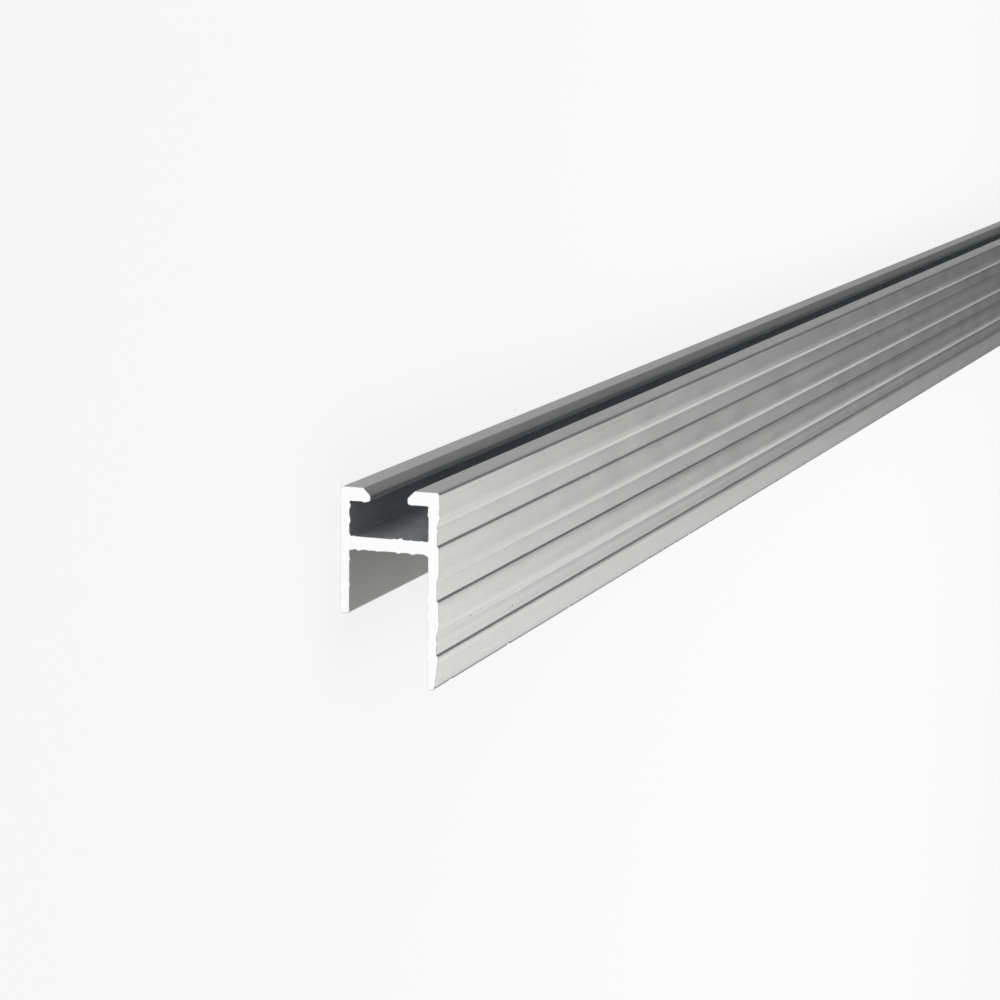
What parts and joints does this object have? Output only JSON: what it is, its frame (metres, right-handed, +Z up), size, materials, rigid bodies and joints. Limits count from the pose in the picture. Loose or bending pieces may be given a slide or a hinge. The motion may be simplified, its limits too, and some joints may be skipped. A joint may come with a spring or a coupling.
{
  "type": "aluminium edging profile",
  "caption": "Straight length of aluminium H-section edging for case building, with a wide slot for a panel edge, a lipped slot for a cover's tongue and low ribs along one long side.",
  "frame": {"origin": "centre of the bounding box's underside: halfway along the length, midway between the lips and the tip of the long leg, on the floor the plain side rests on", "axes": "+Y along the length, +Z up from the plain side to the ribbed side, +X the way the board slot opens, -X the way the lipped cover slot opens"},
  "size_m": [0.0238, 1, 0.0126],
  "materials": {
    "aluminium": "mill finish, satin, with fine die lines along the length"
  },
  "bodies": {
    "root": {"profile": "aluminium"}
  },
  "joints": []
}
